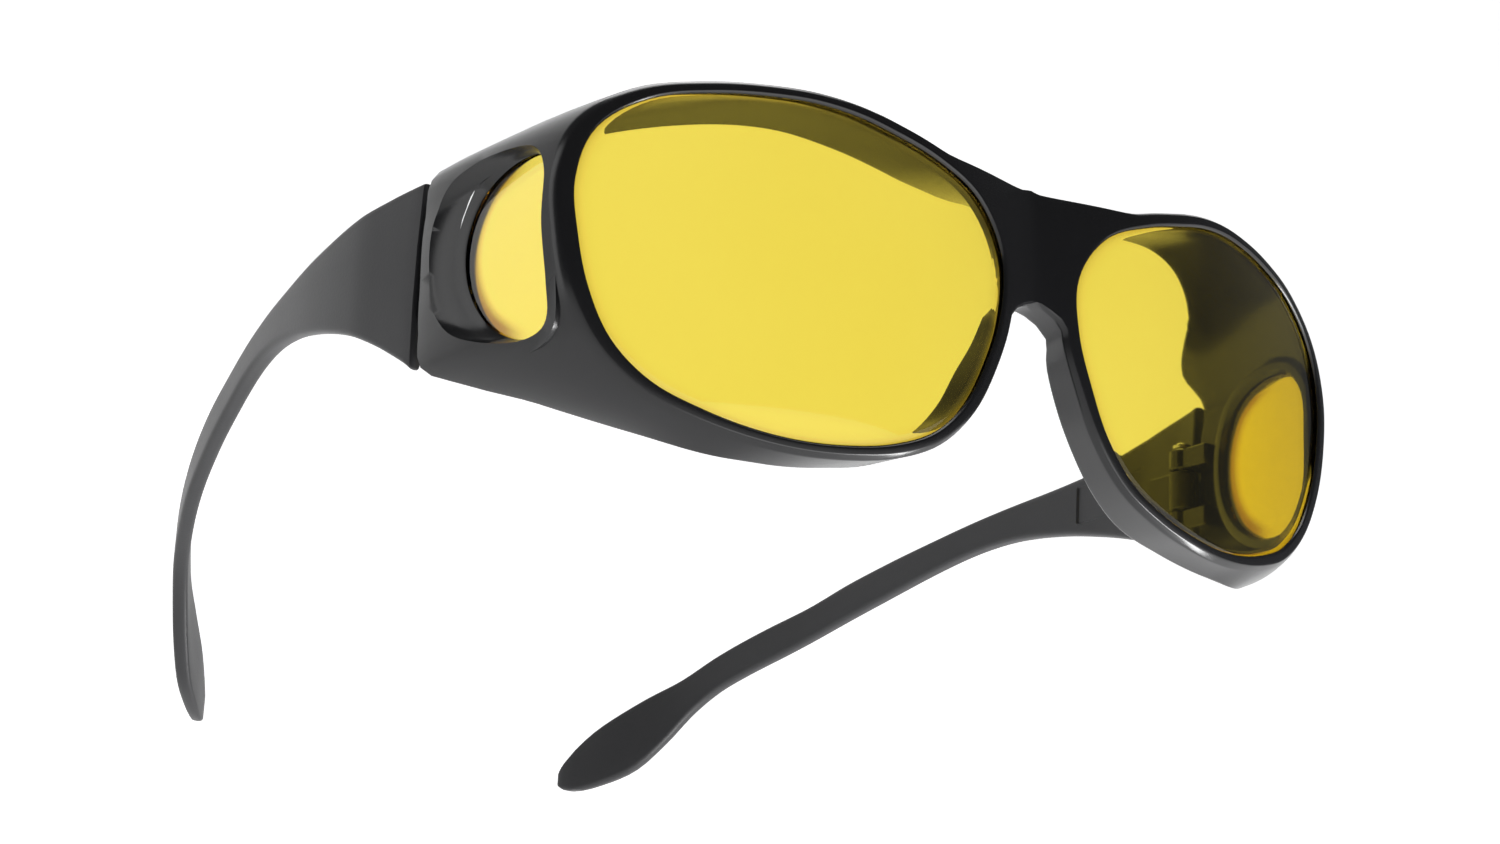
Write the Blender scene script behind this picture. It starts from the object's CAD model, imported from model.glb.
# %% [markdown]
# # Fit-over glasses
# These glasses go over a person's own spectacles. One glossy black moulding makes both rims,
# the bridge and the deep side shields. It holds two curved yellow lenses and two small side
# lenses, and two satin black temples fold on steel screws.
#
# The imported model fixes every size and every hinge. This lesson loads it and then rebuilds
# the pieces that show with smooth surfaces, rounded edges and real finishes.

# %% Load the fixed model
import math

import bmesh
import bpy
from mathutils import Matrix, Vector


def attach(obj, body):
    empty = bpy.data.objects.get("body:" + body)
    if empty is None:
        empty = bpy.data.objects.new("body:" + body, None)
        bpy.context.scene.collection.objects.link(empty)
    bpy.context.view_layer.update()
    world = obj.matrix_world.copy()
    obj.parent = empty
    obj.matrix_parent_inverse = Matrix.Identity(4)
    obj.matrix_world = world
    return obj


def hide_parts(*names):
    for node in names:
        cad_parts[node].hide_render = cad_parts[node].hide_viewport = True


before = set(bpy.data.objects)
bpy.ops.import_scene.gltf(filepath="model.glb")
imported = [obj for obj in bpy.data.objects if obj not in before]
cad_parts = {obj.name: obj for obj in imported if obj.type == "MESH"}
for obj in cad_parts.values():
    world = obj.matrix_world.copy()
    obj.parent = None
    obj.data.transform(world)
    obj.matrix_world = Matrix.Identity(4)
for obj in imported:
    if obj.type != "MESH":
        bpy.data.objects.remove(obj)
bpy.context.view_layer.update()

# %% [markdown]
# ## Two ways of measuring
# A designer draws glasses in the optical frame: millimetres, with the middle of the bridge as
# zero, X across, Y back and Z up. The model stands on a table instead, which tips the optical
# frame by a few degrees and lifts it. One function takes a point from the first to the second.

# %% From the optical frame to the table
TILT = math.radians(2.8)
STANDING = 25.7
FRONT_TO_MIDDLE = 85.7146


def on_table(p):
    x, y, z = p
    back = y * math.cos(TILT) - z * math.sin(TILT) - FRONT_TO_MIDDLE
    up = y * math.sin(TILT) + z * math.cos(TILT) + STANDING
    return Vector((x, back, up)) / 1000


print("hinge point:", [round(n, 4) for n in on_table((66.1, 45, 0))])

# %% [markdown]
# ## Smooth curves from a few numbers
# The outlines are given by a handful of rows, as on a drawing. `along` runs a smooth curve
# through rows that go from one end to the other, and `around` does so for rows that go once
# round a circle, so that the curve joins up with itself.

# %% Curves through rows of numbers
def along(rows, x):
    last = len(rows) - 1
    i = 0
    while i < last - 1 and x > rows[i + 1][0]:
        i += 1

    def slope(k):
        a, b = rows[max(k - 1, 0)], rows[min(k + 1, last)]
        return (b[1] - a[1]) / (b[0] - a[0])

    (x0, y0), (x1, y1) = rows[i], rows[i + 1]
    h = x1 - x0
    t = min(max((x - x0) / h, 0), 1)
    rise = (3 - 2 * t) * t * t
    return (y0 * (1 - rise) + y1 * rise
            + (t - 2 * t * t + t ** 3) * h * slope(i) + (t ** 3 - t * t) * h * slope(i + 1))


def around(rows, degrees):
    before = [(a - 360, v) for a, v in rows[-2:]]
    after = [(a + 360, v) for a, v in rows[:2]]
    return along(before + list(rows) + after, degrees % 360)


def smooth_step(x, low, high):
    t = min(max((x - low) / (high - low), 0), 1)
    return t * t * (3 - 2 * t)


# %% [markdown]
# ## Meshes from rings of points
# Most pieces here are skins stretched over rings of points, as a boat is planked over ribs.
# A loft joins each ring to the next. It either closes on itself, like a tyre, or ends in two
# caps. Double points are merged and the faces are turned outwards afterwards.

# %% Mesh helpers
def finish_mesh(bm, name):
    bmesh.ops.remove_doubles(bm, verts=bm.verts, dist=2e-6)
    bmesh.ops.dissolve_degenerate(bm, edges=bm.edges, dist=1e-7)
    bmesh.ops.recalc_face_normals(bm, faces=bm.faces)
    mesh = bpy.data.meshes.new(name)
    bm.to_mesh(mesh)
    bm.free()
    piece = bpy.data.objects.new(name, mesh)
    bpy.context.scene.collection.objects.link(piece)
    return piece


def loft(name, rings, closed=False):
    bm = bmesh.new()
    rows = [[bm.verts.new(on_table(p)) for p in ring] for ring in rings]
    sides = len(rows[0])
    pairs = list(zip(rows, rows[1:]))
    if closed:
        pairs.append((rows[-1], rows[0]))
    for low, high in pairs:
        for j in range(sides):
            k = (j + 1) % sides
            bm.faces.new((low[j], low[k], high[k], high[j]))
    if not closed:
        bm.faces.new(rows[0])
        bm.faces.new(rows[-1])
    return finish_mesh(bm, name)


def mirrored(piece, name):
    bm = bmesh.new()
    bm.from_mesh(piece.data)
    for v in bm.verts:
        v.co.x = -v.co.x
    return finish_mesh(bm, name)


def evaluated(piece):
    graph = bpy.context.evaluated_depsgraph_get()
    graph.update()
    return bpy.data.meshes.new_from_object(piece.evaluated_get(graph))


def combine(piece, tool, how):
    step = piece.modifiers.new("combine", "BOOLEAN")
    step.operation, step.solver, step.object = how, "EXACT", tool
    fresh = evaluated(piece)
    piece.modifiers.clear()
    piece.data = fresh
    bpy.data.objects.remove(tool)


def shade(piece, degrees):
    piece.data.shade_smooth()
    piece.data.set_sharp_from_angle(angle=math.radians(degrees))


# %% [markdown]
# ## The curved front surface
# The fronts of the lenses and rims share one surface. It curves gently up and down and wraps
# strongly round the face. Points on it are found on spokes that run out from a lens's centre,
# because every edge of the front circles a lens.

# %% Front surface and spokes
LENS_X = 36
WRAP_SLOPE = 0.33
RADIUS_ACROSS = 63
RADIUS_UPRIGHT = 96
WRAP_EASE = 0.0001
BRIDGE_SOFTEN = 5


def front_y(x, z):
    a = math.hypot(x, BRIDGE_SOFTEN) - LENS_X
    return (WRAP_SLOPE * a + a * a / (2 * RADIUS_ACROSS) + z * z / (2 * RADIUS_UPRIGHT)
            - WRAP_EASE * a ** 3)


def on_spoke(degrees, radius, behind=0.0):
    angle = math.radians(degrees)
    x, z = LENS_X + radius * math.cos(angle), radius * math.sin(angle)
    return Vector((x, front_y(x, z) + behind, z))


def spoke_of(x, z):
    return math.degrees(math.atan2(z, x - LENS_X)) % 360


print("wrap of the front from the middle to the edge:",
      round(front_y(65, 0) - front_y(0, 0), 1), "mm")

# %% [markdown]
# ## Outlines of the front
# The opening, the width of the rim and the rear edge of the shields are rows of numbers.
# Next to the bridge the rim leaves the circle and runs level to the middle plane. Under the
# bridge it arches into the nose notch. A row of an outline is (degrees, radius or width), and a
# row of the rear edge is (across, back, up).

# %% Outlines
OPENING = [
    (0, 28.2), (15, 29.8), (30, 30.4), (45, 28.4), (60, 25.3), (75, 23.3), (90, 22.5),
    (105, 22.4), (120, 23.1), (135, 25.4), (150, 28.8), (165, 30.2), (180, 29.2), (195, 28.0),
    (210, 27.6), (225, 27.0), (240, 25.5), (255, 24.2), (270, 23.6), (285, 23.6),
    (300, 24.3), (315, 25.8), (330, 26.9), (345, 27.4),
]
RIM_WIDTH = [(0, 2.8), (60, 2.2), (90, 2.0), (135, 2.3), (180, 2.5), (225, 2.1), (270, 1.9),
             (315, 2.3)]
BACK_EDGE = [
    (70.2, 44.4, 0), (70.3, 44.2, 9), (70, 43.4, 14.6), (64.5, 42.2, 18.6), (54, 30, 22.4),
    (44, 22, 24.4), (34, 17.2, 25), (24, 15, 23.8), (14, 14, 21.6), (6, 13.6, 20.2),
    (0.4, 13.4, 19.7), (4.6, 5.2, 1.2), (5.9, 5.8, -3.6), (8.2, 6.4, -8.6), (11.1, 6.4, -14.2),
    (15, 6.8, -19), (20.5, 7.8, -22.6), (29, 8.4, -25), (38, 9.2, -26.2), (45, 11.3, -26),
    (52.8, 17.9, -23.2), (60.8, 27.5, -19), (66.2, 37.3, -15.3), (69.4, 43.2, -12.6),
    (70, 44.2, -7),
]
BRIDGE_BACK = [(3, 5.4), (8, 6.8), (13, 7.6), (17.4, 9.4), (19.6, 13.4)]
BRIDGE_TOP, BRIDGE_BOTTOM = 19.6, 3.0
BROW_FROM, BROW_SOFTEN, NOTCH_TURN = 110, 0.8, 6

BRIDGE_START = spoke_of(0, BRIDGE_TOP)
BRIDGE_END = spoke_of(0, BRIDGE_BOTTOM)
edge_rows = sorted((spoke_of(x, z), math.hypot(x - LENS_X, z), y) for x, y, z in BACK_EDGE)
back_radius = [(a, r) for a, r, y in edge_rows]
back_depth = [(a, y) for a, r, y in edge_rows]


def in_bridge(degrees):
    return BRIDGE_START - 0.01 < degrees < BRIDGE_END + 0.01


def middle_radius(degrees):
    return LENS_X / -math.cos(math.radians(degrees))


def arch_blend(degrees):
    """How much of the bridge's edge is left where it arches into the nose notch."""
    return min(max(1 - (degrees - BRIDGE_END) / NOTCH_TURN, 0), 1) ** 3


def rim_radius(degrees):
    if in_bridge(degrees):
        return middle_radius(degrees)
    free = around(OPENING, degrees) + around(RIM_WIDTH, degrees)
    if BROW_FROM < degrees < BRIDGE_START:
        brow = BRIDGE_TOP / math.sin(math.radians(degrees))
        return (free + brow + math.hypot(free - brow, BROW_SOFTEN)) / 2
    if degrees > BRIDGE_END:
        return free + (middle_radius(BRIDGE_END) - free) * arch_blend(degrees)
    return free


def back_point(degrees):
    if in_bridge(degrees):
        point = on_spoke(degrees, middle_radius(degrees))
        point.y = along(BRIDGE_BACK, min(max(point.z, BRIDGE_BOTTOM), BRIDGE_TOP))
        return point
    point = on_spoke(degrees, around(back_radius, degrees))
    point.y = around(back_depth, degrees)
    if degrees < BRIDGE_START:
        return point
    return point.lerp(back_point(BRIDGE_END), arch_blend(degrees))


# %% [markdown]
# ## The wall in section
# On each spoke the wall is cut through: a bevel at the lens, the face of the rim, a rounded
# shoulder, the shield running back, its rolled rear edge, the inside, and the groove that
# holds the lens. Every corner is rounded, because a moulding has no sharp edges, and those
# small radii are what catches the light on glossy plastic.

# %% Section of the wall
WALL, BEVEL = 1.8, 0.4
SHOULDER_IN, SHOULDER_BACK = 0.6, 0.7
SHIELD_BULGE = 1.2
GAP, LENS_TUCK, LENS_THICK, LENS_SET_BACK = 0.3, 0.7, 1.8, 0.9
GROOVE_DEEP = LENS_TUCK + GAP
GROOVE_FRONT = LENS_SET_BACK - GAP
GROOVE_BACK = LENS_SET_BACK + LENS_THICK + GAP
LIP_THICK, LIP_STEP = 0.9, 0.1
WALL_STEPS = 10
ARC_STEPS = 4


def rounded(corners, radii):
    """The closed outline with each corner cut back and bent round, always to the same count."""
    out = []
    for i, (corner, radius) in enumerate(zip(corners, radii)):
        if radius is None:
            out.append(corner)
            continue
        before, after = corners[i - 1] - corner, corners[(i + 1) % len(corners)] - corner
        cut = min(radius, 0.45 * before.length, 0.45 * after.length)
        start = corner + before.normalized() * cut if cut > 0 else corner
        end = corner + after.normalized() * cut if cut > 0 else corner
        for k in range(ARC_STEPS + 1):
            t = k / ARC_STEPS
            out.append(start * (1 - t) ** 2 + corner * 2 * t * (1 - t) + end * t * t)
    return out


def wall_section(degrees):
    opening, rim, back = around(OPENING, degrees), rim_radius(degrees), back_point(degrees)
    angle = math.radians(degrees)
    outward = Vector((math.cos(angle), 0, math.sin(angle)))
    flat = in_bridge(degrees)
    bulge = 0 if flat else SHIELD_BULGE * max(0, math.cos(angle)) ** 2
    corners = [on_spoke(degrees, opening + BEVEL), on_spoke(degrees, (opening + rim) / 2),
               on_spoke(degrees, rim - SHOULDER_IN),
               on_spoke(degrees, rim, 0 if flat else SHOULDER_BACK)]
    radii = [0.3, None, 0.45, 0 if flat else 0.6]
    shoulder = corners[-1]
    rear = back + Vector((0, 0 if flat else -BEVEL, 0))
    for k in range(1, WALL_STEPS):
        t = k / WALL_STEPS
        corners.append(shoulder.lerp(rear, t) + outward * 4 * t * (1 - t) * bulge)
        radii.append(None)
    inner = back + outward * (BEVEL - WALL)
    start = inner - outward * BEVEL + Vector((0, -BEVEL, 0))
    corners += [rear, back - outward * BEVEL, inner, start]
    radii += [0 if flat else 0.35, 0 if flat else 0.35, 0.3, 0.3]
    lip = on_spoke(degrees, opening + LIP_STEP, GROOVE_BACK + LIP_THICK)
    lip.y = min(lip.y, start.y - BEVEL)
    for k in range(1, WALL_STEPS):
        t = k / WALL_STEPS
        corners.append(start.lerp(lip, t) + outward * 4 * t * (1 - t) * bulge)
        radii.append(None)
    corners += [lip, on_spoke(degrees, opening, GROOVE_BACK),
                on_spoke(degrees, opening + GROOVE_DEEP, GROOVE_BACK),
                on_spoke(degrees, opening + GROOVE_DEEP, GROOVE_FRONT),
                on_spoke(degrees, opening, GROOVE_FRONT)]
    radii += [0.25, 0.1, None, None, 0.15]
    return rounded(corners, radii)


SPOKE_STEP = 2.5
spoke_list = [k * SPOKE_STEP for k in range(int(360 / SPOKE_STEP))]
for edge in (BRIDGE_START, BRIDGE_END):
    spoke_list += [edge + d for d in (-2.4, -1.6, -0.8, 0, 0.8)]
spoke_list = sorted(spoke_list)
front = loft("front_moulding", [wall_section(a) for a in spoke_list], closed=True)
print("front half:", len(front.data.polygons), "faces on", len(spoke_list), "spokes")

# %% [markdown]
# ## The side window
# Each shield has a D-shaped window with its own plane, leaning out a little to the rear and to
# the top. A closed curve through a few points gives its outline, and the same outline grown
# or shrunk by a margin makes the lens, its groove, the thicker wall inside and the recess
# that widens to the rear outside.

# %% Window outline in its own plane
WINDOW = [(18.8, 9), (18.4, 1.6), (18, -6), (19, -10.9), (23.8, -12), (31, -8.4),
          (35, -2.4), (35.6, 4.2), (32.8, 10), (27, 12.8), (21.4, 12.4)]
WINDOW_CENTRE = Vector((66.15, 27, 0.6))
TOE, LEAN, BEND = 0.075, 0.03, 65
REAR_FROM = -6
PARTS = (0.02, 0.2, 0.4, 0.6, 0.8)
along_axis = Vector((TOE, 1, 0)).normalized()
up_axis = Vector((LEAN, 0, 1)).normalized()
out_axis = Vector((1, -TOE, -LEAN)).normalized()


def window_curve(steps=24):
    points = [Vector((y - WINDOW_CENTRE.y, z - WINDOW_CENTRE.z)) for y, z in WINDOW]
    n = len(points)
    curve = []
    for i in range(n):
        p0, p1, p2, p3 = (points[(i + k - 1) % n] for k in range(4))
        d0, d1, d2 = (max((b - a).length, 1e-6) ** 0.5 for a, b in ((p0, p1), (p1, p2), (p2, p3)))
        m1 = ((p1 - p0) / d0 - (p2 - p0) / (d0 + d1) + (p2 - p1) / d1) * d1
        m2 = ((p2 - p1) / d1 - (p3 - p1) / (d1 + d2) + (p3 - p2) / d2) * d1
        for k in range(steps):
            t = k / steps
            rise = (3 - 2 * t) * t * t
            curve.append(p1 * (1 - rise) + p2 * rise
                         + m1 * (t - 2 * t * t + t ** 3) + m2 * (t ** 3 - t * t))
    return curve


def window_outline(margin, count=96):
    curve = window_curve()
    n = len(curve)
    run = [0.0]
    for i in range(n):
        run.append(run[-1] + (curve[(i + 1) % n] - curve[i]).length)
    out = []
    i = 0
    for k in range(count):
        want = run[-1] * k / count
        while run[i + 1] < want:
            i += 1
        t = (want - run[i]) / (run[i + 1] - run[i])
        ahead, here = curve[(i + 1) % n], curve[i]
        tangent = (curve[(i + 2) % n] - curve[i - 1]).normalized()
        out.append(here.lerp(ahead, t) + Vector((tangent.y, -tangent.x)) * margin)
    return out


def window_point(p, out):
    bent = out - p.y ** 2 / (2 * BEND)
    return WINDOW_CENTRE + along_axis * p.x + up_axis * p.y + out_axis * bent


def window_ring(level, part=1.0):
    """A ring at (margin, height over the side lens, run to the rear, rise at the rear)."""
    margin, out, run, rise = (*level, 0, 0)[:4]
    outline = window_outline(margin)
    rearmost = max(p.x for p in outline)
    ring = []
    for p in outline:
        rear = smooth_step(p.x, REAR_FROM, rearmost)
        ring.append(window_point(Vector(((p.x + run * rear) * part, p.y * part)),
                                 out + rise * rear * part))
    return ring


def window_rings(levels):
    """Rings through the levels, closed over at both ends."""
    return ([window_ring(levels[0], part) for part in PARTS]
            + [window_ring(level) for level in levels]
            + [window_ring(levels[-1], part) for part in reversed(PARTS)])


def box_rings(x0, x1, y0, y1, z0, z1, edge=0.25):
    """A block in the optical frame with its upper and lower edges taken off."""
    def ring(inset, z):
        return [Vector((x, y, z)) for x, y in (
            (x0 + inset, y0 + edge), (x0 + edge, y0 + inset), (x1 - edge, y0 + inset),
            (x1 - inset, y0 + edge), (x1 - inset, y1 - edge), (x1 - edge, y1 - inset),
            (x0 + edge, y1 - inset), (x0 + inset, y1 - edge))]
    return [ring(edge * 0.9, z0), ring(0, z0 + edge), ring(0, z1 - edge), ring(edge * 0.9, z1)]


def tube_rings(x, y, levels, sides=48):
    """Rings round an upright line at (radius, height)."""
    turns = [2 * math.pi * k / sides for k in range(sides)]
    return [[Vector((x + r * math.cos(a), y + r * math.sin(a), z)) for a in turns]
            for r, z in levels]


# %% [markdown]
# ## Cutting and joining the front
# The wall round the window is thickened on the inside, and the hinge lugs are moulded on.
# Then the window, the groove for its lens, the recess and the screw's hole are cut away.
# Doing it on one half keeps the cuts quick. The half is then mirrored and the two are sewn
# together on the middle plane.

# %% Boss, lugs and cuts
HINGE_X, HINGE_Y = 66.1, 45.0
BARREL, SCREW_HOLE, BORE_REACH = 1.9, 1.0, 9
WEB_IN, WEB_OUT, WEB_NEAR, WEB_FAR = 1.2, 3.3, 0.9, 6
TEMPLE_LUG, FRONT_LUG = 3.0, 3.2
LUG_START, LUG_END = TEMPLE_LUG + GAP, TEMPLE_LUG + GAP + FRONT_LUG
SIDE_HALF = 0.8
SEAT = SIDE_HALF + GAP


def lug_parts(low, high, side):
    e = 0.25
    barrel = loft("barrel", tube_rings(HINGE_X, HINGE_Y, [
        (BARREL - e, low), (BARREL, low + e), (BARREL, high - e), (BARREL - e, high)]))
    near, far = sorted((HINGE_Y + side * WEB_NEAR, HINGE_Y + side * WEB_FAR))
    web = loft("web", box_rings(HINGE_X - WEB_IN, HINGE_X + WEB_OUT, near, far,
                                low + 0.01, high - 0.01))
    return [barrel, web]


def bore():
    levels = [(SCREW_HOLE, -BORE_REACH), (SCREW_HOLE, BORE_REACH)]
    return loft("bore", tube_rings(HINGE_X, HINGE_Y, levels))


seat_cut = loft("seat_cut", [
    [on_spoke(a, around(OPENING, a) + GROOVE_DEEP, GROOVE_FRONT) for a in spoke_list],
    [on_spoke(a, around(OPENING, a) + GROOVE_DEEP, GROOVE_BACK + 0.05) for a in spoke_list]])
BOSS = [(1.6, -1.7), (1.87, -1.6), (2.0, -1.3), (2.0, 1.2, 0, 0.9)]
boss = loft("boss", window_rings(BOSS))
combine(boss, seat_cut, "DIFFERENCE")
combine(front, boss, "UNION")
for low, high in ((LUG_START, LUG_END), (-LUG_END, -LUG_START)):
    for part in lug_parts(low, high, -1):
        combine(front, part, "UNION")
combine(front, bore(), "DIFFERENCE")
HOLE = [(1.6, -4), (0.8, -1.8), (0.5, -1.5), (0.2, -1.1), (0, -0.4), (0, 6)]
GROOVE = [(GROOVE_DEEP, -SEAT), (GROOVE_DEEP, SEAT)]
combine(front, loft("window", window_rings(HOLE)), "DIFFERENCE")
combine(front, loft("groove", window_rings(GROOVE)), "DIFFERENCE")
print("after the window cuts:", len(front.data.polygons), "faces")

# %% Recess outside the side lens, and the flats it stands on
SCOOP = [(-0.2, 0.6), (0.05, 1.0, 0.1), (0.15, 1.15, 0.3), (0.25, 1.35, 0.7),
         (0.4, 1.75, 1.9), (0.6, 2.2, 3.2), (0.85, 2.7, 4.3), (1.1, 3.4, 5.4), (1.6, 4.6, 7.0)]


def below_table():
    bm = bmesh.new()
    bmesh.ops.create_cube(bm, size=0.6, matrix=Matrix.Translation((0, 0, -0.3)))
    return finish_mesh(bm, "below_table")


combine(front, loft("scoop", window_rings(SCOOP)), "DIFFERENCE")
combine(front, below_table(), "DIFFERENCE")
print("after the recess:", len(front.data.polygons), "faces")

# %% Sewing the two halves together
bm = bmesh.new()
bm.from_mesh(front.data)
middle = [f for f in bm.faces if all(abs(v.co.x) < 2e-6 for v in f.verts)]
bmesh.ops.delete(bm, geom=middle, context="FACES")
twin = bmesh.ops.duplicate(bm, geom=bm.verts[:] + bm.edges[:] + bm.faces[:])["geom"]
for v in (g for g in twin if isinstance(g, bmesh.types.BMVert)):
    v.co.x = -v.co.x
bpy.data.objects.remove(front)
front = finish_mesh(bm, "front_moulding")
shade(front, 34)
print("front moulding:", len(front.data.polygons), "faces")

# %% [markdown]
# ## Writing node trees as sums
# Materials and Geometry Nodes are both trees of nodes. Wiring them by hand hides the maths, so
# a small class wraps a socket and lets Python's own operators add the Math nodes. Every other
# node comes from one method, which sets the node's settings first and then its sockets.

# %% Node helpers
class Value:
    def __init__(self, graph, socket):
        self.graph, self.socket = graph, socket

    def math(self, operation, other=None):
        sockets = {0: self}
        if other is not None:
            sockets[1] = other
        return self.graph.node("ShaderNodeMath", {"operation": operation}, sockets)

    def __add__(self, other): return self.math("ADD", other)
    def __radd__(self, other): return self.math("ADD", other)
    def __mul__(self, other): return self.math("MULTIPLY", other)
    def __rmul__(self, other): return self.math("MULTIPLY", other)
    def __sub__(self, other): return self.math("SUBTRACT", other)
    def __rsub__(self, other): return (self * -1) + other
    def __truediv__(self, other): return self.math("DIVIDE", other)
    def __pow__(self, other): return self.math("POWER", other)


class Graph:
    def __init__(self, tree):
        self.tree = tree
        self.tree.nodes.clear()

    def node(self, kind, settings=None, sockets=None, out=0):
        made = self.tree.nodes.new(kind)
        for name, value in (settings or {}).items():
            setattr(made, name, value)
        for name, value in (sockets or {}).items():
            if isinstance(value, Value):
                self.tree.links.new(value.socket, made.inputs[name])
            else:
                made.inputs[name].default_value = value
        return Value(self, made.outputs[out])

    def link(self, value, socket):
        self.tree.links.new(value.socket, socket)


# %% [markdown]
# ## Main lenses
# A lens blank starts flat and is bent to the wrap. Here the flat plate is a mesh, and a
# Geometry Nodes tree moves each of its points back by the front surface's own formula. The
# surface is smooth at any mesh size, so it reflects like polished plastic. The tree works in
# the optical frame, and the plate goes to the table afterwards.

# %% Geometry Nodes: bend a flat plate to the front surface
def named_inputs(tree, rows):
    for name, kind, value in rows:
        made = tree.interface.new_socket(name, in_out="INPUT", socket_type=kind)
        if value is not None:
            made.default_value = value


def input_ids(tree):
    return {s.name: s.identifier for s in tree.interface.items_tree
            if getattr(s, "in_out", "") == "INPUT"}


def wrap_tree():
    tree = bpy.data.node_groups.new("wrap_to_face", "GeometryNodeTree")
    tree.interface.new_socket("Geometry", in_out="INPUT", socket_type="NodeSocketGeometry")
    tree.interface.new_socket("Geometry", in_out="OUTPUT", socket_type="NodeSocketGeometry")
    named_inputs(tree, [("Slope", "NodeSocketFloat", 0.3), ("Radius across", "NodeSocketFloat", 60),
                        ("Radius upright", "NodeSocketFloat", 90),
                        ("Lens centre", "NodeSocketFloat", 36),
                        ("Bridge softening", "NodeSocketFloat", 5),
                        ("Ease", "NodeSocketFloat", 0.0),
                        ("Finish", "NodeSocketMaterial", None)])
    g = Graph(tree)
    start = g.tree.nodes.new("NodeGroupInput")
    given = {s.name: Value(g, s) for s in start.outputs if s.name}
    place = g.node("GeometryNodeInputPosition")
    split = g.node("ShaderNodeSeparateXYZ", {}, {0: place}).socket.node
    x, z = Value(g, split.outputs[0]), Value(g, split.outputs[2])
    soft = given["Bridge softening"]
    across = (x * x + soft * soft).math("SQRT") - given["Lens centre"]
    back = (across * given["Slope"] + across * across / (given["Radius across"] * 2)
            + z * z / (given["Radius upright"] * 2) - across ** 3 * given["Ease"])
    move = g.node("ShaderNodeCombineXYZ", {}, {1: back})
    bent = g.node("GeometryNodeSetPosition", {}, {"Geometry": given["Geometry"], "Offset": move})
    real = g.node("GeometryNodeRealizeInstances", {}, {0: bent})
    done = g.node("GeometryNodeSetMaterial", {}, {"Geometry": real, "Material": given["Finish"]})
    end = g.tree.nodes.new("NodeGroupOutput")
    g.link(done, end.inputs[0])
    return tree


def run_tree(piece, tree, values):
    step = piece.modifiers.new(tree.name, "NODES")
    step.node_group = tree
    ids = input_ids(tree)
    for name, value in values.items():
        step[ids[name]] = value
    fresh = evaluated(piece)
    piece.modifiers.clear()
    piece.data = fresh


# %% [markdown]
# ## Finishes
# Four finishes cover the object. The front is polished black, with the faint waviness that
# every moulding has and a few fine smears. The temples have a satin, soft-touch black with a
# tiny grain. The lenses are clear plastic dyed yellow, a little deeper at the rim. The screws
# are turned and plated steel with rings left by the tool.

# %% Plastic finishes
def new_material(name):
    made = bpy.data.materials.new(name)
    made.use_nodes = True
    return made, Graph(made.node_tree)


def surface(g, shader):
    end = g.tree.nodes.new("ShaderNodeOutputMaterial")
    g.link(shader, end.inputs["Surface"])


def noise(g, scale, detail=3.0, rough=0.5):
    place = g.node("ShaderNodeTexCoord", out=3)
    return g.node("ShaderNodeTexNoise", {}, {"Vector": place, "Scale": scale, "Detail": detail,
                                             "Roughness": rough})


def two_tone(g, factor, low, high):
    return g.node("ShaderNodeMix", {"data_type": "RGBA"},
                  {"Factor": factor, 6: (*low, 1), 7: (*high, 1)}, out=2)


def bumped(g, height, strength, distance):
    return g.node("ShaderNodeBump", {}, {"Height": height, "Strength": strength,
                                         "Distance": distance})


def polished_black():
    made, g = new_material("polished_black")
    smear = noise(g, 38, 4, 0.6)
    cloud = noise(g, 9, 2)
    fine = noise(g, 900, 2)
    wave = noise(g, 60, 1)
    colour = two_tone(g, cloud, (0.0045, 0.0045, 0.0050), (0.0085, 0.0085, 0.0095))
    gloss = smear * 0.12 + fine * 0.05 + 0.12
    relief = bumped(g, wave + fine * 0.06, 0.12, 0.0004)
    surface(g, g.node("ShaderNodeBsdfPrincipled", {}, {
        "Base Color": colour, "Roughness": gloss, "IOR": 1.46, "Normal": relief}))
    return made


def satin_black():
    made, g = new_material("satin_black")
    grain = noise(g, 2600, 2, 0.6)
    patch = noise(g, 55, 3)
    broad = noise(g, 14, 2)
    colour = two_tone(g, patch * 0.6 + grain * 0.4, (0.010, 0.010, 0.011), (0.019, 0.019, 0.021))
    rub = broad * 0.10 + grain * 0.08 + 0.36
    relief = bumped(g, grain + patch * 0.3, 0.25, 0.00006)
    surface(g, g.node("ShaderNodeBsdfPrincipled", {}, {
        "Base Color": colour, "Roughness": rub, "IOR": 1.45, "Normal": relief,
        "Sheen Weight": 0.05, "Sheen Roughness": 0.4}))
    return made


black = polished_black()
satin = satin_black()
print("plastics:", black.name, satin.name)

# %% [markdown]
# The dye of a lens looks deeper where light travels further through it, which is at its rim. A
# number stored on each point says how near the rim it is. The finish reads it to turn the
# yellow a little towards amber there. Very faint smears vary the roughness, as on any lens
# that has been handled.

# %% Lens and steel finishes
def yellow_lens():
    made, g = new_material("yellow_lens")
    rim = g.node("ShaderNodeAttribute", {"attribute_name": "rim"}, out=2)
    cloud = noise(g, 22, 2)
    middle = two_tone(g, cloud, (0.83, 0.655, 0.066), (0.88, 0.715, 0.098))
    deep = g.node("ShaderNodeMix", {"data_type": "RGBA"},
                  {"Factor": rim ** 2, 6: middle, 7: (0.36, 0.17, 0.006, 1)}, out=2)
    smear = noise(g, 70, 5, 0.65)
    wave = noise(g, 30, 1)
    surface(g, g.node("ShaderNodeBsdfPrincipled", {}, {
        "Base Color": deep, "Roughness": smear * 0.035 + 0.008, "IOR": 1.53,
        "Transmission Weight": 1.0, "Normal": bumped(g, wave, 0.05, 0.0002)}))
    return made


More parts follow.
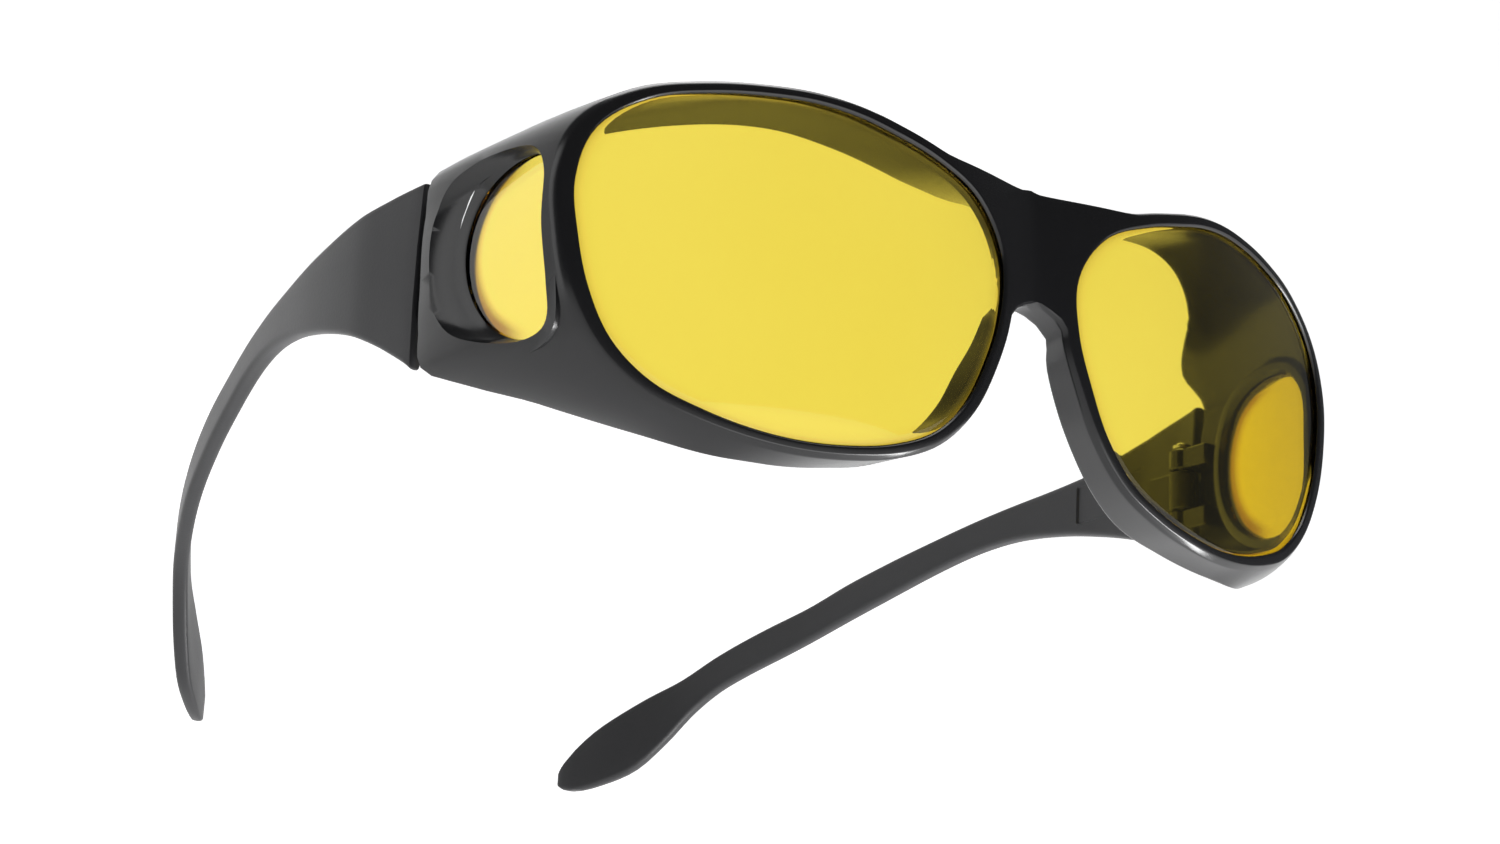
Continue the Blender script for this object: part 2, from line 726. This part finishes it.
def turned_steel():
    made, g = new_material("turned_steel")
    place = g.node("ShaderNodeTexCoord", out=3)
    rings = g.node("ShaderNodeTexWave", {"wave_type": "BANDS", "bands_direction": "Z"},
                   {"Vector": place, "Scale": 900.0, "Distortion": 0.6, "Detail": 1.0}, out=1)
    patch = noise(g, 800, 3)
    colour = two_tone(g, patch, (0.48, 0.48, 0.49), (0.66, 0.66, 0.67))
    surface(g, g.node("ShaderNodeBsdfPrincipled", {}, {
        "Base Color": colour, "Metallic": 1.0, "Roughness": patch * 0.15 + rings * 0.08 + 0.2,
        "Normal": bumped(g, rings, 0.2, 0.00004)}))
    return made


dyed = yellow_lens()
steel = turned_steel()
print("lens and screw finishes:", dyed.name, steel.name)

# %% Main lenses
def rim_attribute(piece, values):
    layer = piece.data.attributes.new("rim", "FLOAT", "POINT")
    layer.data.foreach_set("value", values)


def flat_lens(name):
    """A flat plate in the optical frame, in millimetres, that follows the opening."""
    edge = 0.25
    parts = [k / 16 for k in range(1, 16)]
    reach = {a: around(OPENING, a) + LENS_TUCK for a in spoke_list}
    levels = [(p, None, LENS_SET_BACK) for p in parts] + [(None, edge, LENS_SET_BACK)]
    levels += [(None, 0, LENS_SET_BACK + edge), (None, 0, LENS_SET_BACK + LENS_THICK - edge)]
    back = LENS_SET_BACK + LENS_THICK
    levels += [(None, edge, back)] + [(p, None, back) for p in reversed(parts)]
    bm = bmesh.new()
    rows, near = [], []
    for part, inset, y in levels:
        row = []
        for a in spoke_list:
            r = reach[a] * part if part is not None else reach[a] - inset
            turn = math.radians(a)
            row.append(bm.verts.new((LENS_X + r * math.cos(turn), y, r * math.sin(turn))))
            near.append(r / reach[a])
        rows.append(row)
    for low, high in zip(rows, rows[1:]):
        for j in range(len(low)):
            k = (j + 1) % len(low)
            bm.faces.new((low[j], low[k], high[k], high[j]))
    for row, y in ((rows[0], LENS_SET_BACK), (rows[-1], back)):
        hub = bm.verts.new((LENS_X, y, 0))
        near.append(0.0)
        for j in range(len(row)):
            bm.faces.new((row[j], row[(j + 1) % len(row)], hub))
    bmesh.ops.recalc_face_normals(bm, faces=bm.faces)
    mesh = bpy.data.meshes.new(name)
    bm.to_mesh(mesh)
    bm.free()
    piece = bpy.data.objects.new(name, mesh)
    bpy.context.scene.collection.objects.link(piece)
    rim_attribute(piece, [smooth_step(n, 0.90, 1.0) for n in near])
    return piece


bend = wrap_tree()
lenses = {}
for side, sign in (("left", 1), ("right", -1)):
    lens = flat_lens("yellow_lens_" + side)
    run_tree(lens, bend, {"Slope": WRAP_SLOPE, "Radius across": RADIUS_ACROSS,
                          "Radius upright": RADIUS_UPRIGHT, "Lens centre": LENS_X,
                          "Bridge softening": BRIDGE_SOFTEN, "Ease": WRAP_EASE, "Finish": dyed})
    for v in lens.data.vertices:
        v.co = on_table((sign * v.co.x, v.co.y, v.co.z))
    if sign < 0:
        lens.data.flip_normals()
    shade(lens, 60)
    lenses[side] = lens
    print(lens.name, len(lens.data.polygons), "faces")

# %% [markdown]
# ## Side lenses
# Each side lens is a thin blank with a rounded edge, bent a little up and down and set in the
# shield's groove. Its dye looks amber only along its rear edge.

# %% Side lenses
def side_lens(name):
    face = [(margin, SIDE_HALF) for margin in (-2.4, -1.6, -0.8, 0.1)] + [(0.5, 0.77), (0.7, 0.55)]
    levels = face + [(margin, -out) for margin, out in reversed(face)]
    piece = loft(name, window_rings(levels))
    outline = [on_table(window_point(p, 0)) for p in window_outline(0)]
    middle = on_table(WINDOW_CENTRE)
    near = []
    for v in piece.data.vertices:
        gap = min((v.co - p).length for p in outline) * 1000
        behind = (v.co.y - middle.y) * 1000
        near.append(smooth_step(-gap, -2.6, -1.2) * smooth_step(behind, -5, 3))
    rim_attribute(piece, near)
    print(name, "middle at", [round(n, 4) for n in middle])
    return piece


for side in ("left", "right"):
    pane = side_lens("side_pane_" + side)
    if side == "right":
        for v in pane.data.vertices:
            v.co.x = -v.co.x
        pane.data.flip_normals()
    shade(pane, 60)
    lenses["pane_" + side] = pane

# %% [markdown]
# ## Temples
# A temple is a bar whose section changes along its length: tall and thin at the hinge, slim
# behind the shield, then a flat paddle that bends down and in behind the ear. Its outer face,
# upper edge, lower edge and thickness are four curves along its length, and the section is a
# rounded block between them. The first ring follows the bowed seam of the front.

# %% Temple curves and section
TEMPLE_PLAN = [(45, 70.4), (51, 71.7), (58, 72.9), (70, 72.8), (82, 71.3), (95, 68.9),
               (108, 66.1), (120, 63.3), (133, 59.5), (146, 54.2), (154, 49.8), (161, 44.8),
               (167, 39.8), (172, 35.2)]
TEMPLE_TOP = [(45, 14.4), (51, 13.6), (58, 12.5), (68, 10.6), (78, 9.0), (89, 7.4), (98, 5.8),
              (107, 3.8), (116, 1.6), (124, -0.8), (132, -3.9), (141, -7.1), (149, -10.8),
              (155, -14.8), (161, -18.4), (167, -23.2), (170.4, -27.4), (172, -30.6)]
TEMPLE_BOTTOM = [(45, -12), (48.5, -9.6), (53, -7), (58, -4.7), (64, -2.7), (71, -0.9),
                 (79, 0.6), (88, 1.4), (95, 1), (102, -0.3), (112, -3.1), (125, -7.3),
                 (137, -11.8), (144, -14.6), (149, -17.2), (153.4, -21), (157.4, -26),
                 (161.4, -30.4), (166, -33), (170, -34.2), (172, -33.6)]
TEMPLE_THICK = [(45, 1.9), (49, 1.9), (56, 2.4), (80, 2.7), (110, 2.5), (140, 2.4), (155, 2.4),
                (166, 2.2), (172, 1.4)]


SEAM_MIDDLE, SEAM_HALF, SEAM_BOW, SEAM_START = 1.2, 15, 0.75, -0.55
SEAM_EASE = 6


def seam_y(z):
    return HINGE_Y + SEAM_START + (1 - ((z - SEAM_MIDDLE) / SEAM_HALF) ** 2) * SEAM_BOW


def temple_ring(y, inset=0.0, push=0.0):
    top, bottom = along(TEMPLE_TOP, y) - inset, along(TEMPLE_BOTTOM, y) + inset
    outer, thick = along(TEMPLE_PLAN, y), along(TEMPLE_THICK, y)
    lean = math.atan((along(TEMPLE_PLAN, y + 1) - along(TEMPLE_PLAN, y - 1)) / 2)
    inward = Vector((-math.cos(lean), math.sin(lean), 0))
    height = top - bottom
    turn = min(thick * 0.42, height * 0.3)
    corners = [(inset, 0.0), (inset, height * 0.35), (inset, height * 0.65), (inset, height),
               (thick - inset, height), (thick - inset, height * 0.65),
               (thick - inset, height * 0.35), (thick - inset, 0.0)]
    flat = rounded([Vector((d, r, 0)) for d, r in corners],
                   [turn, None, None, turn, turn, None, None, turn])
    ring = []
    for p in flat:
        z = bottom + p.y
        point = Vector((outer, y, z)) + inward * p.x
        ease = min(max(1 - (y - HINGE_Y) / SEAM_EASE, 0), 1)
        point.y += ease * (seam_y(z) - HINGE_Y) + push
        ring.append(point)
    return ring


TIP = 172.0
stations = [HINGE_Y + 1.25 * k for k in range(1, 101)]
temple_rings = [temple_ring(HINGE_Y, inset, push)
                for inset, push in ((0.3, 0.02), (0.08, 0.12), (0.0, 0.36))]
temple_rings += [temple_ring(y) for y in stations if y < TIP - 1.2]
for turn in (15, 35, 55, 72, 84):
    shrink = 1 - math.cos(math.radians(turn))
    temple_rings.append(temple_ring(TIP - 1 + math.sin(math.radians(turn)), 0.75 * shrink))
temple = loft("satin_temple_left", temple_rings)
for part in lug_parts(-TEMPLE_LUG, TEMPLE_LUG, 1):
    combine(temple, part, "UNION")
combine(temple, bore(), "DIFFERENCE")
print("temple:", len(temple.data.polygons), "faces")

# %% [markdown]
# Behind the hinge the inner face of each temple has a shallow flat panel, where a maker would
# mould a size or a material mark. It is left plain.

# %% Plain panel inside each temple
PANEL_FROM, PANEL_TO = 59, 75
PANEL_LOW, PANEL_HIGH, PANEL_DEPTH = 1.5, 8, 0.3


def panel_block():
    def inner(y):
        return along(TEMPLE_PLAN, y) - along(TEMPLE_THICK, y)
    near, far, half = inner(PANEL_FROM), inner(PANEL_TO), (PANEL_TO - PANEL_FROM) / 2
    turn = Matrix.Rotation(math.atan((near - far) / (2 * half)), 3, "Z")
    middle = Vector(((near + far) / 2, PANEL_FROM + half, 0))
    rings = box_rings(-4, PANEL_DEPTH, -half, half, PANEL_LOW, PANEL_HIGH, edge=0.3)
    return loft("panel", [[turn @ p + middle for p in ring] for ring in rings])


combine(temple, panel_block(), "DIFFERENCE")
combine(temple, below_table(), "DIFFERENCE")
other_temple = mirrored(temple, "satin_temple_right")
for piece in (temple, other_temple):
    shade(piece, 32)

# %% [markdown]
# ## Hinge screws
# The two screws are the same turned part, so a Geometry Nodes tree makes one and sets a copy
# at each hinge. A slotted head is a short cylinder with a bar taken out of it. The tree has the
# sizes as named inputs, so another screw is one change away.

# %% Geometry Nodes: a slotted screw at each hinge
def screw_tree():
    tree = bpy.data.node_groups.new("slotted_screws", "GeometryNodeTree")
    tree.interface.new_socket("Geometry", in_out="INPUT", socket_type="NodeSocketGeometry")
    tree.interface.new_socket("Geometry", in_out="OUTPUT", socket_type="NodeSocketGeometry")
    named_inputs(tree, [("Shank radius", "NodeSocketFloat", 0.7),
                        ("Shank length", "NodeSocketFloat", 13.0),
                        ("Head radius", "NodeSocketFloat", 1.35),
                        ("Head height", "NodeSocketFloat", 0.8),
                        ("Slot width", "NodeSocketFloat", 0.4),
                        ("Shank middle", "NodeSocketFloat", 0.0),
                        ("Finish", "NodeSocketMaterial", None)])
    g = Graph(tree)
    start = g.tree.nodes.new("NodeGroupInput")
    given = {s.name: Value(g, s) for s in start.outputs if s.name}

    def moved(shape, up):
        at = g.node("ShaderNodeCombineXYZ", {}, {2: up})
        return g.node("GeometryNodeTransform", {}, {"Geometry": shape, "Translation": at})

    def cylinder(radius, height):
        return g.node("GeometryNodeMeshCylinder", {},
                      {"Vertices": 40, "Radius": radius, "Depth": height})

    top = given["Shank middle"] + given["Shank length"] * 0.5
    half_head = given["Head height"] * 0.5
    shank = moved(cylinder(given["Shank radius"], given["Shank length"]), given["Shank middle"])
    rim = moved(cylinder(given["Head radius"], given["Head height"] * 0.7),
                top + given["Head height"] * 0.35)
    crown = moved(g.node("GeometryNodeMeshCone", {}, {
        "Vertices": 40, "Radius Top": given["Head radius"] * 0.76,
        "Radius Bottom": given["Head radius"], "Depth": given["Head height"] * 0.3}),
        top + given["Head height"] * 0.7)
    size = g.node("ShaderNodeCombineXYZ", {}, {0: 4.0, 1: given["Slot width"], 2: 0.8})
    bar = moved(g.node("GeometryNodeMeshCube", {}, {"Size": size}),
                top + half_head * 2 + 0.05)
    body = g.node("GeometryNodeMeshBoolean", {"operation": "UNION", "solver": "EXACT"})
    cutter = g.node("GeometryNodeMeshBoolean", {"operation": "DIFFERENCE", "solver": "EXACT"})
    union, cut = body.socket.node, cutter.socket.node
    for part in (shank, rim, crown):
        g.link(part, union.inputs["Mesh 2"])
    g.link(body, cut.inputs["Mesh 1"])
    g.link(bar, cut.inputs["Mesh 2"])
    copies = g.node("GeometryNodeInstanceOnPoints", {}, {
        "Points": given["Geometry"], "Instance": cutter})
    real = g.node("GeometryNodeRealizeInstances", {}, {0: copies})
    done = g.node("GeometryNodeSetMaterial", {}, {"Geometry": real, "Material": given["Finish"]})
    end = g.tree.nodes.new("NodeGroupOutput")
    g.link(done, end.inputs[0])
    return tree


points = bpy.data.meshes.new("hinge_screws")
points.from_pydata([(HINGE_X, HINGE_Y, 0), (-HINGE_X, HINGE_Y, 0)], [], [])
screws = bpy.data.objects.new("hinge_screws", points)
bpy.context.scene.collection.objects.link(screws)
SHANK_RADIUS, HEAD_RADIUS, HEAD_HEIGHT, SLOT_WIDTH = 0.7, 1.35, 0.8, 0.4
run_tree(screws, screw_tree(), {
    "Shank radius": SHANK_RADIUS, "Shank length": LUG_END + LUG_END + GAP,
    "Head radius": HEAD_RADIUS, "Head height": HEAD_HEIGHT, "Slot width": SLOT_WIDTH,
    "Shank middle": GAP / 2, "Finish": steel})
for v in screws.data.vertices:
    v.co = on_table(v.co)
shade(screws, 35)
print("screws:", len(screws.data.polygons), "faces")

# %% [markdown]
# ## Joining the looks to the model
# Each new piece rides on one body of the model and stands for the plain nodes it replaces. The
# model keeps those for collision and motion.

# %% Bodies, nodes and slots
def join(piece, body, slot, finish, *nodes):
    if piece.data.materials:
        for k in range(len(piece.data.materials)):
            piece.data.materials[k] = finish
    else:
        piece.data.materials.append(finish)
    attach(piece, body)
    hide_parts(*nodes)
    print(piece.name, "on", body, "for", ", ".join(nodes))


join(front, "front", "frame_black", black, "front_frame")
for side in ("left", "right"):
    join(lenses[side], "front", "lens_yellow", dyed, "main_lens_" + side)
    join(lenses["pane_" + side], "front", "lens_yellow", dyed, "side_lens_" + side)
join(temple, "temple_left", "temple_black", satin, "temple_left")
join(other_temple, "temple_right", "temple_black", satin, "temple_right")
join(screws, "front", "screw_steel", steel, "hinge_screw_left", "hinge_screw_right")

# %% [markdown]
# ## A pale studio
# The glasses are seen from a little below, so the floor lies well under them and a pale wall
# stands behind. Polished black shows what is around it, not its own colour. The room is
# therefore kept grey in front, and a few soft panels draw clean highlights along the rims.

# %% Floor and wall
def studio_paint():
    made, g = new_material("studio_paint")
    colour = two_tone(g, noise(g, 3, 2), (0.86, 0.86, 0.86), (0.90, 0.90, 0.90))
    surface(g, g.node("ShaderNodeBsdfPrincipled", {}, {
        "Base Color": colour, "Roughness": noise(g, 40, 3) * 0.1 + 0.8,
        "Emission Color": (1, 1, 1, 1), "Emission Strength": 0.72}))
    return made


def studio_sweep():
    """A floor that turns up into a wall, as one curved sheet."""
    floor, wall, turn = -0.32, 1.6, 0.5
    nearest, top, half_width = -3.0, 3.2, 4
    line = [(nearest, floor), (wall - turn, floor)]
    line += [(wall - turn + turn * math.sin(math.radians(a)),
              floor + turn - turn * math.cos(math.radians(a))) for a in range(10, 91, 10)]
    line.append((wall, top))
    bm = bmesh.new()
    rows = [[bm.verts.new((x, y, z)) for x in (-half_width, half_width)] for y, z in line]
    for low, high in zip(rows, rows[1:]):
        bm.faces.new((low[0], low[1], high[1], high[0]))
    mesh = bpy.data.meshes.new("studio_sweep")
    bm.to_mesh(mesh)
    bm.free()
    made = bpy.data.objects.new("studio_sweep", mesh)
    bpy.context.scene.collection.objects.link(made)
    mesh.materials.append(studio_paint())
    mesh.shade_smooth()
    return made


studio_sweep()

# %% Lights
def soft_light(name, at, aim, size, watts):
    data = bpy.data.lights.new(name, "AREA")
    data.shape, data.size, data.size_y = "RECTANGLE", size[0], size[1]
    data.energy = watts
    made = bpy.data.objects.new(name, data)
    made.location = at
    made.rotation_euler = (Vector(aim) - Vector(at)).to_track_quat("-Z", "Y").to_euler()
    bpy.context.scene.collection.objects.link(made)


middle = (0, -0.04, 0.03)
soft_light("overhead", (0.05, -0.05, 0.8), middle, (0.9, 0.4), 4.0)
soft_light("left_side", (-0.8, 0.1, 0.3), middle, (0.25, 0.8), 1.1)
soft_light("low_fill", (0.1, -0.25, -0.30), middle, (0.8, 0.3), 1.6)
soft_light("rim_line", (0.24, -0.2, -0.28), middle, (0.4, 0.05), 1.6)
world = bpy.data.worlds.new("grey_room")
bpy.context.scene.world = world
world.use_nodes = True
room = world.node_tree.nodes["Background"].inputs
room["Color"].default_value = (0.80, 0.82, 0.84, 1)
room["Strength"].default_value = 0.11

# %% [markdown]
# ## Camera
# A long lens from the wearer's right, below the rims and looking up a little, shows the side
# shield, both lenses and the underside of the bridge together.

# %% Camera
lens_data = bpy.data.cameras.new("camera")
lens_data.sensor_width, lens_data.lens = 36, 85.97
camera = bpy.data.objects.new("camera", lens_data)
bpy.context.scene.collection.objects.link(camera)
AZIMUTH, ELEVATION, ROLL = math.radians(-34.757), math.radians(-19.930), math.radians(1.387)
target = Vector((-0.02115, -0.0490, 0.01707))
distance = 0.4939
level = math.cos(ELEVATION)
forward = Vector((-math.sin(AZIMUTH) * level, math.cos(AZIMUTH) * level, -math.sin(ELEVATION)))
right = forward.cross(Vector((0, 0, 1))).normalized()
up = right.cross(forward)
rolled = right * math.cos(ROLL) + up * math.sin(ROLL)
upward = rolled.cross(forward)
turn = Matrix((rolled, upward, -forward)).transposed().to_4x4()
camera.matrix_world = Matrix.Translation(target - forward * distance) @ turn
bpy.context.scene.camera = camera
bpy.context.scene.view_settings.view_transform = "Standard"
print("camera at", [round(n, 4) for n in camera.location])

# %% [markdown]
# ## Sizes and the last line
# The looks may not change the object's size, so the box of the fixed model and the box of the
# finished one are written side by side.

# %% Write the sizes and finish
bpy.context.view_layer.update()
